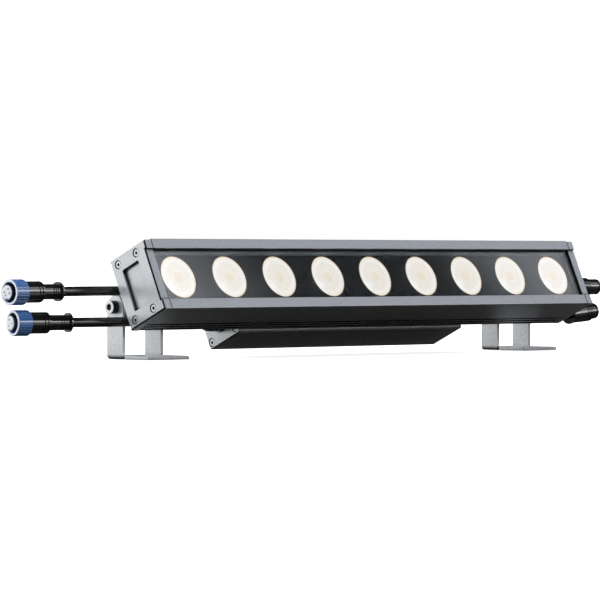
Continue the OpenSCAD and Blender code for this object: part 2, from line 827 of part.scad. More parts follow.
module bracket_profile() {
  w = bracket_w;
  difference() {
    union() {
      translate([-w / 2, bend_r]) square([w, pivot_height + leg_w]);
      translate([bend_r - w / 2, 0]) square([w - 2 * bend_r, bend_r]);
      for (x = [bend_r - w / 2, w / 2 - bend_r]) translate([x, bend_r]) circle(r = bend_r, $fn = fine);
    }
    translate([-leg_in, bracket_t + bend_in_r]) square([2 * leg_in, pivot_height + 2 * leg_w]);
    translate([bend_in_r - leg_in, bracket_t]) square([2 * (leg_in - bend_in_r), 2 * bend_in_r]);
    for (x = [bend_in_r - leg_in, leg_in - bend_in_r])
      translate([x, bracket_t + bend_in_r]) circle(r = bend_in_r, $fn = fine);
  }
}

module leg_outline() {
  translate([-leg_w / 2, -pivot_height]) square([leg_w, pivot_height]);
  circle(d = leg_w, $fn = 2 * fine);
}

module foot_plate() {
  w = bracket_w;
  front = -leg_w / 2 - foot_reach;
  joint = -leg_w / 2 + overrun;
  linear_extrude(height = bracket_t) difference() {
    polygon([[-w / 2, joint], [-w / 2, front + foot_chamfer], [foot_chamfer - w / 2, front],
             [w / 2 - foot_chamfer, front], [w / 2, front + foot_chamfer], [w / 2, joint]]);
    for (x = [-w / 2 - overrun, w / 2 - relief_w])
      translate([x, -leg_w / 2 - relief_l]) square([relief_w + overrun, relief_l + 2 * overrun]);
  }
}

module bracket(s) {
  color(sheet_grey) on_side(s) translate([bracket_x, pivot_y, 0]) difference() {
    union() {
      intersection() {
        translate([0, leg_w / 2, 0]) rotate([90, 0, 0]) linear_extrude(height = leg_w) bracket_profile();
        translate([0, 0, pivot_height]) along_x(-bracket_w, bracket_w) leg_outline();
      }
      foot_plate();
    }
    x_rod(pivot_d + 2 * pivot_gap, -bracket_w, bracket_w, 0, pivot_height);
    for (y = [0, mount_pitch])
      translate([0, y + mount_front - leg_w / 2 - foot_reach, -overrun])
        cylinder(d = mount_d, h = bracket_t + 2 * overrun, $fn = fine);
  }
}

// Glands and leads

module gland_at(v) {
  inner = driver_end - driver_cap_t;
  nut_end = driver_end + gland_nut_l;
  ring_at = nut_end + gland_waist_l;
  end = driver_end + gland_l;
  translate([0, gland_u, v]) rotate([0, 90, 0]) rotate_extrude($fn = fine) polygon([
    [0, inner - gland_locknut_l], [gland_locknut_d / 2, inner - gland_locknut_l],
    [gland_locknut_d / 2, inner], [gland_shank_d / 2, inner], [gland_shank_d / 2, driver_end],
    [gland_nut_d / 2, driver_end], [gland_nut_d / 2, nut_end - edge_r],
    [gland_nut_d / 2 - edge_r, nut_end], [gland_waist_d / 2, nut_end], [gland_waist_d / 2, ring_at],
    [gland_nut_d / 2, ring_at], [gland_nut_d / 2, ring_at + gland_ring_l],
    [gland_tip_d / 2, end - edge_r], [gland_tip_d / 2 - edge_r, end], [0, end]
  ]);
}

module cable_glands(s) {
  color(black) in_housing() on_side(s) for (v = gland_v) gland_at(v);
}

function unit(a) = a / norm(a);

// Direction of a route at point i
function heading(route, i) =
  unit(route[min(i + 1, len(route) - 1)] - route[max(i - 1, 0)]);

// Points round a route's point, in a plane square to its direction
function lead_ring(p, dir) = let (a = unit(cross(dir, [0, 0, 1])), b = cross(a, dir))
  [for (k = [0:lead_sides - 1])
    p + lead_d / 2 * (cos(360 * k / lead_sides) * a + sin(360 * k / lead_sides) * b)];

// Where a lead leaves its gland
function exit_point(s, l) = [
  (s == 0 ? -1 : 1) * (driver_end + gland_l),
  corner_y + away_y(gland_u, gland_v[l]),
  corner_z + away_z(gland_u, gland_v[l])
];

module lead(s, l) {
  route = lead_route(s, l);
  n = lead_sides;
  last = len(route) - 1;
  points = [for (i = [0:last]) each lead_ring(route[i], heading(route, i))];
  walls = [for (j = [0:last - 1], k = [0:n - 1]) let (a = j * n + k, b = j * n + (k + 1) % n)
    each [[a, b, b + n], [a, b + n, a + n]]];
  ends = [[for (k = [n - 1:-1:0]) k], [for (k = [0:n - 1]) last * n + k]];
  color(black) translate(exit_point(s, l)) polyhedron(points = points, faces = concat(walls, ends));
}

// Places its children at the end of a lead, with +Z pointing on along it
module at_lead_end(s, l) {
  route = lead_route(s, l);
  tip = route[len(route) - 1];
  dir = unit(tip - route[len(route) - 2]);
  translate(exit_point(s, l)) translate(tip) rotate([0, acos(dir[2]), atan2(dir[1], dir[0])]) children();
}

// Places copies of its children on the contact circle: three below, four above
module at_contacts(l) {
  for (a = contact_angles[l]) rotate(a) translate([contact_circle_d / 2, 0, 0]) children();
}

// A groove of the given width and depth round a cylinder of diameter d, from z upward
module ring_groove(d, z, w, depth) {
  translate([0, 0, z]) difference() {
    cylinder(d = d + 2 * overrun, h = w, $fn = fine);
    cylinder(d = d - 2 * depth, h = w, $fn = fine);
  }
}

module socket_body(l) {
  neck = socket_flange_l + socket_neck_l;
  stop = socket_nut_at + fit_gap + nut_back_t + fit_gap;
  nose_end = socket_front - socket_nose_back;
  color(black) at_lead_end(0, l) difference() {
    union() {
      cylinder(d = socket_flange_d, h = socket_flange_l, $fn = fine);
      cylinder(d = socket_neck_d, h = neck + overrun, $fn = fine);
      translate([0, 0, neck]) cylinder(d = socket_body_d, h = socket_body_l, $fn = fine);
      translate([0, 0, neck]) cylinder(d = socket_core_d, h = stop + socket_stop_l - neck, $fn = fine);
      translate([0, 0, stop]) cylinder(d = socket_stop_d, h = socket_stop_l, $fn = fine);
      translate([0, 0, neck]) cylinder(d = socket_nose_d, h = nose_end - neck, $fn = fine);
    }
    for (i = [0:neck_groove_n - 1])
      ring_groove(socket_neck_d, socket_flange_l + neck_groove_at + i * neck_groove_pitch,
                  neck_groove_w, neck_groove_depth);
    for (i = [0, 1])
      ring_groove(socket_body_d, neck + socket_groove_at + i * socket_groove_pitch,
                  socket_groove_w, socket_groove_depth);
    translate([0, 0, socket_front - socket_insert_l])
      cylinder(d = socket_insert_d + 2 * screw_gap, h = socket_insert_l + overrun, $fn = fine);
  }
}

module socket_insert(l) {
  color([0.82, 0.84, 0.85]) at_lead_end(0, l) difference() {
    translate([0, 0, socket_front - socket_insert_l])
      cylinder(d = socket_insert_d, h = socket_insert_l, $fn = fine);
    at_contacts(l) translate([0, 0, socket_front - contact_hole_depth])
      cylinder(d = contact_hole_d, h = contact_hole_depth + overrun, $fn = fine);
    translate([socket_insert_d / 2 - key_depth, -key_w / 2, socket_front - contact_hole_depth])
      cube([key_depth + overrun, key_w, contact_hole_depth + overrun]);
  }
}

module coupling_nut(l) {
  back = socket_nut_at + fit_gap;
  front = socket_nut_at + nut_l;
  r = nut_outer_d / 2;
  bore_r = nut_bore_d / 2;
  core_r = socket_core_d / 2 + pivot_gap;
  color([0.1, 0.3, 0.62]) at_lead_end(0, l) difference() {
    rotate_extrude($fn = 2 * fine) polygon([
      [core_r, back], [r - nut_back_edge, back], [r, back + nut_back_edge], [r, front - nut_front_edge],
      [r - nut_front_edge, front], [bore_r + nut_front_edge, front], [bore_r, front - nut_front_edge],
      [bore_r, back + nut_back_t], [core_r, back + nut_back_t]
    ]);
    for (k = [0:nut_flutes - 1]) rotate(k * 360 / nut_flutes)
      translate([r - nut_flute_depth + nut_flute_d / 2, 0, back - overrun])
        cylinder(d = nut_flute_d, h = nut_l - nut_back_edge + overrun, $fn = 16);
  }
}

module plug_body(l) {
  neck = plug_flange_l + plug_neck_l;
  nose = plug_shoulder + plug_waist_l;
  end = plug_end(l);
  color(black) at_lead_end(1, l) difference() {
    union() {
      cylinder(d = plug_flange_d, h = plug_flange_l, $fn = fine);
      cylinder(d1 = plug_neck_d, d2 = plug_body_d, h = neck + overrun, $fn = fine);
      translate([0, 0, neck]) cylinder(d = plug_body_d, h = plug_body_l, $fn = fine);
      translate([0, 0, neck]) cylinder(d = plug_waist_d, h = end - neck, $fn = fine);
      translate([0, 0, nose]) cylinder(d = plug_nose_d, h = plug_nose_l[l], $fn = fine);
      translate([0, 0, end - plug_lip_l]) cylinder(d = plug_nose_d, h = plug_lip_l, $fn = fine);
    }
    for (i = [0:plug_ring_n - 1])
      ring_groove(plug_body_d, plug_shoulder - plug_ring_at - i * plug_ring_pitch - plug_ring_w,
                  plug_ring_w, plug_ring_depth);
    translate([0, 0, end - plug_bore_depth])
      cylinder(d = plug_bore_d, h = plug_bore_depth + overrun, $fn = fine);
    mirror([0, 1, 0]) at_contacts(l) translate([0, 0, end - plug_bore_depth - pin_in])
      cylinder(d = pin_d + 2 * screw_gap, h = pin_in + overrun, $fn = fine);
  }
}

module plug_pins(l) {
  color([0.85, 0.7, 0.35]) at_lead_end(1, l) mirror([0, 1, 0]) at_contacts(l)
    translate([0, 0, plug_end(l) - plug_bore_depth - pin_in])
      cylinder(d = pin_d, h = pin_in + pin_out, $fn = fine);
}

housing_extrusion();
front_glass();
glass_seal();
lens_plate();
lens_holders();
led_board();
led_emitters();
board_screws();
end_cap_screws();
for (i = [1:lens_count]) lens(i - 1);
driver_housing();
driver_gaskets();
driver_cap_screws();
driver_board();
driver_transformer();
driver_capacitors();
driver_terminals();
wire_grommet();
supply_wires();
slot_screws();
slot_nuts();
pivot_bolts();
pivot_washers();
for (s = [0, 1]) {
  end_cap(s);
  end_gasket(s);
  driver_cap(s);
  hinge_block(s);
  bracket(s);
  cable_glands(s);
}
for (s = [0, 1], l = [0, 1])
  lead(s, l);
for (l = [0, 1]) {
  socket_body(l);
  socket_insert(l);
  coupling_nut(l);
  plug_body(l);
  plug_pins(l);
}
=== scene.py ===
"""Looks of the linear light fixture: an extruded housing with nine lit lenses behind glass, a supply
box on its back, two folded brackets and four short leads with waterproof connectors.

Metres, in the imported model's own frame: +X along the fixture, -Y the lit side, +Z up."""
import json
import math

import bmesh
import bpy
from mathutils import Matrix, Vector


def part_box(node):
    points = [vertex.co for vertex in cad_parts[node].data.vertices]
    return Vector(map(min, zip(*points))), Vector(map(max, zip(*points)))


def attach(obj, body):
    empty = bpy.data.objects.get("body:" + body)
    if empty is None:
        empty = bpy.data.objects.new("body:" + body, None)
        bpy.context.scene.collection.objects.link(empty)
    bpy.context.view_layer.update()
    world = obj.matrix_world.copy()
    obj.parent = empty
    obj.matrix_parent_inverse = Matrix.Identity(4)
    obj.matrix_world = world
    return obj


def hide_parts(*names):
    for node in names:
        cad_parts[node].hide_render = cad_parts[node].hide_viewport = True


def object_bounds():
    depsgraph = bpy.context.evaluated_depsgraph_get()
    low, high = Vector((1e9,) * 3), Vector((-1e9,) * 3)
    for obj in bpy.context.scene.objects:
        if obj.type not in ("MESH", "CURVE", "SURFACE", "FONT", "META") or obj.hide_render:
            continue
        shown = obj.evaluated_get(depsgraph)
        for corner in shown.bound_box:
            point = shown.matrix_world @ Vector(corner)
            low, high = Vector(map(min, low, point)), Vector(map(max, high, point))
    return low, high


MM = 0.001

# The photograph's camera, with its focal length and sensor in millimetres
CAMERA_AT = Vector((-2207.8, -2129.8, 75.9)) * MM
CAMERA_YAW = math.radians(45.308)
CAMERA_DOWN = math.radians(0.593)
CAMERA_REACH = 200
FOCAL = 226.5
SENSOR = 36.0

# The section's lean, and how far behind its lit end the brackets' pivot and the glass's seal lie
TILT = math.radians(24.6)
PIVOT_U = 63.1 * MM
SEAL_U = 3.5 * MM
# The light strip on the lens plate starts this far above the pivot, across the section
STRIP_V = 18 * MM
# Half the width over which one painted colour gives way to the next
SEAM = 0.2 * MM

# The lenses: how far behind the lit end, radius, height of the rim and of the whole, and the eye
LENS_COUNT = 9
LENS_U = 8.7 * MM
LENS_R = 17.4 * MM
LENS_RIM = 1.5 * MM
LENS_ROUND = 0.25 * MM
LENS_H = 13.4 * MM
LENS_BACK_R = 0.93 * LENS_R
LENS_END_R = 0.35 * LENS_R
EYE_R = 4.75 * MM
EYE_DEPTH = 0.4 * MM
# The ribs drawn on a lens: their lean, their closeness, and where they fade by the eye and the rim
RIB_TURN = math.radians(-61)
RIB_SCALE = 160
RIB_FADE_IN = 0.08
RIB_FADE_OUT = (0.68, 0.78)
# The brighter patch beside a lens's rim
PATCH_AT = (-0.62 * LENS_R, 0.45 * LENS_R, 0)
PATCH_R = 0.4 * LENS_R
PATCH_SHARE = 0.9

# Routes of the leads, from where each leaves its gland, in millimetres
LEAD_D = 7.5 * MM
LEAD_ROUND_STEPS = 9
LEAD_LONG_STEPS = 10
ROUTES = {
    "left_upper": [
        (0, 0, 0), (-5, -0.1, 0.1), (-10, -1, 0.4), (-16, -2.9, 1.2), (-22, -5.5, 2.3),
        (-28, -8.4, 3.6), (-34, -11, 4.7), (-40, -13.1, 5.6), (-45, -14.1, 6), (-50, -14.4, 6.1),
        (-65, -14.4, 6.1), (-80, -14.4, 6.1), (-95, -14.4, 6.1), (-110, -14.4, 6.1),
        (-126, -14.4, 6.1), (-142, -14.4, 6), (-157.5, -14.4, 5.9)],
    "left_lower": [
        (0, 0, 0), (-5, -0.1, 0), (-10, -1.1, 0.2), (-16, -3.2, 0.7), (-22, -6, 1.3),
        (-28, -9.1, 2), (-34, -12.1, 2.6), (-40, -14.2, 3.1), (-45, -15.3, 3.3), (-50, -15.6, 3.4),
        (-64, -15.6, 3.4), (-79, -15.6, 3.4), (-94, -15.6, 3.4), (-109, -15.5, 3.4),
        (-120, -15, 3.4), (-131, -14.1, 3.4), (-142, -12.7, 3.4), (-152.5, -10.8, 3.4)],
    "right_upper": [
        (0, 0, 0), (5, -0.1, 0.1), (10, -1, 0.4), (16, -2.9, 1.2), (22, -5.5, 2.3),
        (28, -8.4, 3.6), (34, -11, 4.7), (40, -13.1, 5.6), (45, -14.1, 6), (50, -14.4, 6.1),
        (62, -14.4, 6.1), (75, -14.4, 6.2), (88, -14.4, 6.3), (100, -14.4, 6.4),
        (112, -14.4, 6.5), (124, -14.4, 6.5), (136, -14.4, 6.5)],
    "right_lower": [
        (0, 0, 0), (5, -0.1, 0), (10, -1.1, 0.2), (16, -3.2, 0.7), (22, -6, 1.3),
        (28, -9.1, 2), (34, -12.1, 2.6), (40, -14.2, 3.1), (45, -15.3, 3.3), (50, -15.6, 3.4),
        (60, -15.6, 3.3), (70, -15.6, 3.1), (80, -15.6, 2.8), (90, -15.6, 2.5),
        (100, -15.6, 2.3), (109, -15.6, 2.4), (118, -15.6, 2.8), (127, -15.6, 3.6)],
}

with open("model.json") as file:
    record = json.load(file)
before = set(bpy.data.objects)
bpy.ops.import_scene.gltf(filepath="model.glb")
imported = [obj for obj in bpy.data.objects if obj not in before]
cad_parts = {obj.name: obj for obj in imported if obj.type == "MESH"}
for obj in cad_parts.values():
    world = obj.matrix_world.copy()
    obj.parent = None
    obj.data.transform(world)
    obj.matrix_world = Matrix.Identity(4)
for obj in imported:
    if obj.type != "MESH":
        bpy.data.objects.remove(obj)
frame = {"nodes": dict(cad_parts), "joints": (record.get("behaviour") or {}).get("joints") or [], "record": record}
CAD_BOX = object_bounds()
JOINTS = {joint["name"]: joint for joint in frame["joints"]}
PIVOT = Vector(JOINTS["bracket_left_tilt"]["pos_m"])
# Directions in the leaning section: into the fixture from its lit end, and up its lit face
ALONG = Vector((0, math.cos(TILT), -math.sin(TILT)))
ACROSS = Vector((0, math.sin(TILT), math.cos(TILT)))


def new_object(name, data):
    """An object in the scene."""
    piece = bpy.data.objects.new(name, data)
    bpy.context.collection.objects.link(piece)
    return piece


def make_camera():
    """The camera that took the photograph."""
    data = bpy.data.cameras.new("camera")
    data.lens = FOCAL
    data.sensor_width = SENSOR
    data.sensor_height = SENSOR
    data.clip_end = CAMERA_REACH
    camera = new_object("camera", data)
    camera.location = CAMERA_AT
    camera.rotation_euler = (math.pi / 2 - CAMERA_DOWN, 0, -CAMERA_YAW)
    bpy.context.scene.camera = camera


# Nodes that the materials, the world and the floor share

def plug(links, value, place):
    """Links a socket to an input, or sets the input to a number or a colour."""
    if isinstance(value, bpy.types.NodeSocket):
        links.new(value, place)
    else:
        place.default_value = value


def object_place(nodes):
    """Where a point is, in the object's own space."""
    return nodes.new("ShaderNodeTexCoord").outputs["Object"]


def add_noise(nodes, links, scale, detail=3.0):
    """A noise in object space."""
    noise = nodes.new("ShaderNodeTexNoise")
    noise.inputs["Scale"].default_value = scale
    noise.inputs["Detail"].default_value = detail
    links.new(object_place(nodes), noise.inputs["Vector"])
    return noise.outputs[0]


def map_range(nodes, links, value, limits, kind):
    """A number moved from one range to another; limits are the two ends before and after."""
    ramp = nodes.new("ShaderNodeMapRange")
    ramp.interpolation_type = kind
    for name, number in zip(("From Min", "From Max", "To Min", "To Max"), limits):
        ramp.inputs[name].default_value = number
    links.new(value, ramp.inputs["Value"])
    return ramp.outputs[0]


# The values between which most of a noise lies
NOISE_RANGE = (0.3, 0.7)


def add_range(nodes, links, noise, low, high):
    """A value between low and high, following a noise from its dark to its light parts."""
    return map_range(nodes, links, noise, (*NOISE_RANGE, low, high), "LINEAR")


def smooth_step(nodes, links, value, low, high, before=0.0, after=1.0):
    """Goes softly from before to after while value goes from low to high."""
    return map_range(nodes, links, value, (low, high, before, after), "SMOOTHSTEP")


def math_node(nodes, links, operation, a, b=None, clamp=False):
    """One arithmetic step; a and b are sockets or numbers."""
    step = nodes.new("ShaderNodeMath")
    step.operation = operation
    step.use_clamp = clamp
    plug(links, a, step.inputs[0])
    if b is not None:
        plug(links, b, step.inputs[1])
    return step.outputs[0]


def vector_node(nodes, links, operation, source, other=(0, 0, 0)):
    """One step on a vector and a fixed one: a vector from MULTIPLY, and a number from the rest."""
    step = nodes.new("ShaderNodeVectorMath")
    step.operation = operation
    step.inputs[1].default_value = other
    links.new(source, step.inputs[0])
    return step.outputs["Vector" if operation == "MULTIPLY" else "Value"]


def mix_numbers(nodes, links, share, first, second):
    """first where share is 0, and second where it is 1."""
    mix = nodes.new("ShaderNodeMix")
    links.new(share, mix.inputs[0])
    plug(links, first, mix.inputs[2])
    plug(links, second, mix.inputs[3])
    return mix.outputs[0]


def mix_colors(nodes, links, share, first, second, blend="MIX"):
    """The first colour where share is 0, and the second where it is 1."""
    mix = nodes.new("ShaderNodeMix")
    mix.data_type = "RGBA"
    mix.blend_type = blend
    links.new(share, mix.inputs[0])
    for color, place in ((first, mix.inputs[6]), (second, mix.inputs[7])):
        plug(links, (*color, 1) if isinstance(color, (tuple, list)) else color, place)
    return mix.outputs[2]


def seen_in_gloss(nodes, links, path):
    """1 for what metal and glass show, and 0 for the rest."""
    return math_node(nodes, links, "ADD", path.outputs["Is Glossy Ray"],
                     path.outputs["Is Transmission Ray"], clamp=True)


# Materials

ALONG_X = (1, 0, 0)
# A slanting direction that the housing's front and bottom both face
FRONT_AND_DOWN = (0, -1, -0.3)
# Painted shade, partly the rubber's own black: the seal's front in the gap under the rails
GAP_SHADE_BLACK = (0.004, 0.004, 0.004)
# Painted shade: the near-black of the screws' sides and sockets, which lie in shade
SHADED_SIDE_BLACK = (0.012, 0.012, 0.013)
# Broad colour spots: the scale and detail of their noise
SPOTS = (30, 4)
# How much of its colour a surface keeps in a narrow recess, where shade is painted into it
RECESS_SHADE_SHARE = 0.03
# How open a recess's wall is, from where its painted shade is full to where there is none
WALL_SHADE_RANGE = (0.7, 0.97)
# How squarely a surface faces the lit side or an end, from where its second colour sets in
FACE_RANGE = (0.8, 0.97)
END_RANGE = (0.6, 0.9)
OUTWARD_RANGE = (0.3, 0.7)
# The slant of an edge between an end and the front, painted dark as shade: where it starts and stops, and how far
# forward
SLANT_START = (0.4, 0.6)
SLANT_STOP = (0.8, 0.95)
SLANT_FRONT = (0.2, 0.4)
RECESS_RAYS = 8
EDGE_RAYS = 4
COAT_ROUGHNESS = 0.08
COAT_IOR = 1.7


def new_material(name):
    """A node material with one Principled shader, and its nodes and links."""
    material = bpy.data.materials.new(name)
    material.use_nodes = True
    nodes = material.node_tree.nodes
    return material, nodes, material.node_tree.links, nodes["Principled BSDF"]


def facing(nodes, links, axis):
    """How squarely a surface faces an axis of the object, -1 to 1."""
    normal = nodes.new("ShaderNodeTexCoord").outputs["Normal"]
    return vector_node(nodes, links, "DOT_PRODUCT", normal, axis)


def endwise(nodes, links):
    """How squarely a surface faces one of the fixture's ends, 0 to 1."""
    return math_node(nodes, links, "ABSOLUTE", facing(nodes, links, ALONG_X))


def outward(nodes, links):
    """How squarely a surface faces away from the fixture's middle, along its length, -1 to 1."""
    split = nodes.new("ShaderNodeSeparateXYZ")
    links.new(object_place(nodes), split.inputs[0])
    side = math_node(nodes, links, "SIGN", split.outputs["X"])
    return math_node(nodes, links, "MULTIPLY", facing(nodes, links, ALONG_X), side)


def past_plane(nodes, links, axis, level, before, after):
    """Goes from before to after at a plane across an axis, level past the brackets' pivot."""
    reach = vector_node(nodes, links, "DOT_PRODUCT", object_place(nodes), axis)
    plane = PIVOT.dot(axis) + level
    return smooth_step(nodes, links, reach, plane - SEAM, plane + SEAM, before, after)


def behind_seal_front(nodes, links):
    """0 on the front of the glass's seal, and 1 behind it."""
    return past_plane(nodes, links, ALONG, SEAL_U - PIVOT_U, 0, 1)


def below_strip(nodes, links):
    """0 on the strip under the top rail, and 1 below it."""
    return past_plane(nodes, links, ACROSS, STRIP_V, 1, 0)


def off_shaded_face(nodes, links):
    """0 where a surface faces the lit side, and 1 elsewhere; on the housing those faces get a darker colour,
    painted shade.
    """
    return smooth_step(nodes, links, facing(nodes, links, -ALONG), *FACE_RANGE, 1, 0)


def on_ends(nodes, links):
    """1 where a surface faces one of the fixture's ends, and 0 elsewhere."""
    return smooth_step(nodes, links, endwise(nodes, links), *END_RANGE)


def off_ends(nodes, links):
    """0 where a surface faces one of the fixture's ends, and 1 elsewhere."""
    return smooth_step(nodes, links, endwise(nodes, links), *END_RANGE, 1, 0)


def off_shaded_edges(nodes, links):
    """0 on the slanted edges between the ends and the front and bottom, which are painted dark as shade
    in place of their dark reflection, and 1 elsewhere.
    """
    slant = endwise(nodes, links)
    inner = smooth_step(nodes, links, slant, *SLANT_START)
    outer = smooth_step(nodes, links, slant, *SLANT_STOP, 1, 0)
    front = smooth_step(nodes, links, facing(nodes, links, FRONT_AND_DOWN), *SLANT_FRONT)
    both = math_node(nodes, links, "MULTIPLY", inner, outer)
    return math_node(nodes, links, "SUBTRACT", 1, math_node(nodes, links, "MULTIPLY", both, front))


def outside_painted_shade(nodes, links, shade_reach, shade_range, shaded_walls):
    """0 in recesses narrower than the given reach, and 1 in the open; where it is low, shade is painted
    into the colour. With the walls option, faces that don't look outward get painted shade sooner, and
    the slanted edges round the fixture's ends are painted dark too, in place of their dark reflection."""
    hollow = nodes.new("ShaderNodeAmbientOcclusion")
    hollow.samples = RECESS_RAYS
    hollow.inputs["Distance"].default_value = shade_reach
    share = smooth_step(nodes, links, hollow.outputs["AO"], *shade_range)
    if not shaded_walls:
        return share
    wall_share = smooth_step(nodes, links, hollow.outputs["AO"], *WALL_SHADE_RANGE)
    level = smooth_step(nodes, links, outward(nodes, links), *OUTWARD_RANGE)
    walls = mix_numbers(nodes, links, level, wall_share, share)
    return math_node(nodes, links, "MULTIPLY", walls, off_shaded_edges(nodes, links))


def finish(name, color, roughness, metallic=0.0, grain=1500, bump=0.1, depth=0.00002, vary=0.06,
           spread=0.05, specular=0.5, coat=0.0, edge=0.0, shade_reach=0.0, shaded_walls=False,
           shade_range=(0.25, 0.8), painted=None):
    """A surface with fine grain, slight colour and gloss variation, softened edges and painted shade in recesses.
    painted is a function that gives 0 on a part of the surface, and that part's colour; on every material
    here that colour stands for light or shade, wholly or in part."""
    material, nodes, links, shader = new_material(name)
    fine = add_noise(nodes, links, grain)
    spots = add_range(nodes, links, add_noise(nodes, links, *SPOTS), 0, 1)
    dark = [c * (1 - vary) for c in color]
    light = [min(1, c * (1 + vary)) for c in color]
    paint = mix_colors(nodes, links, spots, dark, light)
    if painted:
        elsewhere, second = painted
        paint = mix_colors(nodes, links, elsewhere(nodes, links), second, paint)
    if shade_reach:
        unshaded = outside_painted_shade(nodes, links, shade_reach, shade_range, shaded_walls)
        paint = mix_colors(nodes, links, unshaded, [c * RECESS_SHADE_SHARE for c in color], paint)
    links.new(paint, shader.inputs["Base Color"])
    gloss = add_range(nodes, links, fine, roughness - spread, roughness + spread)
    links.new(gloss, shader.inputs["Roughness"])
    relief = nodes.new("ShaderNodeBump")
    relief.inputs["Strength"].default_value = bump
    relief.inputs["Distance"].default_value = depth
    links.new(fine, relief.inputs["Height"])
    if edge:
        bevel = nodes.new("ShaderNodeBevel")
        bevel.samples = EDGE_RAYS
        bevel.inputs["Radius"].default_value = edge
        links.new(bevel.outputs[0], relief.inputs["Normal"])
    links.new(relief.outputs[0], shader.inputs["Normal"])
    shader.inputs["Metallic"].default_value = metallic
    shader.inputs["Specular IOR Level"].default_value = specular
    shader.inputs["Coat Weight"].default_value = coat
    shader.inputs["Coat Roughness"].default_value = COAT_ROUGHNESS
    shader.inputs["Coat IOR"].default_value = COAT_IOR
    return material


GLASS_SPOTS = (12, 1)
GLASS_TINTS = ((0.93, 0.96, 0.96), (0.97, 0.99, 0.99))
GLASS_IOR = 1.45


def glass_finish(name):
    """Clear glass, with a faint colour that changes slightly over its length."""
    material, nodes, links, shader = new_material(name)
    faint = add_range(nodes, links, add_noise(nodes, links, *GLASS_SPOTS), 0, 1)
    tint = mix_colors(nodes, links, faint, *GLASS_TINTS)
    links.new(tint, shader.inputs["Base Color"])
    shader.inputs["Transmission Weight"].default_value = 1
    shader.inputs["IOR"].default_value = GLASS_IOR
    shader.inputs["Roughness"].default_value = 0
    return material


# A lit lens's colours, by the share of its radius: the eye, the face and the rim
EYE_SHARE = EYE_R / LENS_R
EYE_SOFT = 0.02
LENS_COLORS = [
    (0, (0.88, 0.79, 0.64)),
    (EYE_SHARE - EYE_SOFT, (0.87, 0.78, 0.63)),
    (EYE_SHARE + EYE_SOFT, (0.94, 0.9, 0.86)),
    (0.88, (0.94, 0.9, 0.86)),
    (0.96, (0.9, 0.76, 0.62)),
    (1, (0.6, 0.42, 0.28)),
]
RIB_COLOR = (0.9, 0.84, 0.76)
PATCH_COLOR = (1, 0.99, 0.97)


def lens_finish(name):
    """A lit lens: a cream eye, a near-white face with slanting ribs, a bright side and a warm rim."""
    material, nodes, links, shader = new_material(name)
    place = object_place(nodes)
    across = vector_node(nodes, links, "MULTIPLY", place, (1, 1, 0))
    radius = vector_node(nodes, links, "LENGTH", across)
    share = math_node(nodes, links, "DIVIDE", radius, LENS_R)
    ramp = nodes.new("ShaderNodeValToRGB")
    stops = ramp.color_ramp.elements
    stops[0].color = (*LENS_COLORS[0][1], 1)
    stops[1].color = (*LENS_COLORS[-1][1], 1)
    for position, color in LENS_COLORS[1:-1]:
        stops.new(position).color = (*color, 1)
    links.new(share, ramp.inputs[0])
    turn = nodes.new("ShaderNodeMapping")
    turn.inputs["Rotation"].default_value = (0, 0, RIB_TURN)
    links.new(place, turn.inputs["Vector"])
    ribs = nodes.new("ShaderNodeTexWave")
    ribs.inputs["Scale"].default_value = RIB_SCALE
    ribs.inputs["Distortion"].default_value = 0
    links.new(turn.outputs[0], ribs.inputs["Vector"])
    inside = smooth_step(nodes, links, share, EYE_SHARE, EYE_SHARE + RIB_FADE_IN)
    within = smooth_step(nodes, links, share, *RIB_FADE_OUT, 1, 0)
    zone = math_node(nodes, links, "MULTIPLY", inside, within)
    ribbed = math_node(nodes, links, "MULTIPLY", ribs.outputs["Fac"], zone)
    face = mix_colors(nodes, links, ribbed, ramp.outputs[0], RIB_COLOR, "MULTIPLY")
    off = vector_node(nodes, links, "DISTANCE", across, PATCH_AT)
    patch = smooth_step(nodes, links, off, 0, PATCH_R, PATCH_SHARE, 0)
    links.new(mix_colors(nodes, links, patch, face, PATCH_COLOR), shader.inputs["Emission Color"])
    shader.inputs["Emission Strength"].default_value = 1
    shader.inputs["Base Color"].default_value = (0.1, 0.1, 0.09, 1)
    shader.inputs["Roughness"].default_value = 0.3
    return material
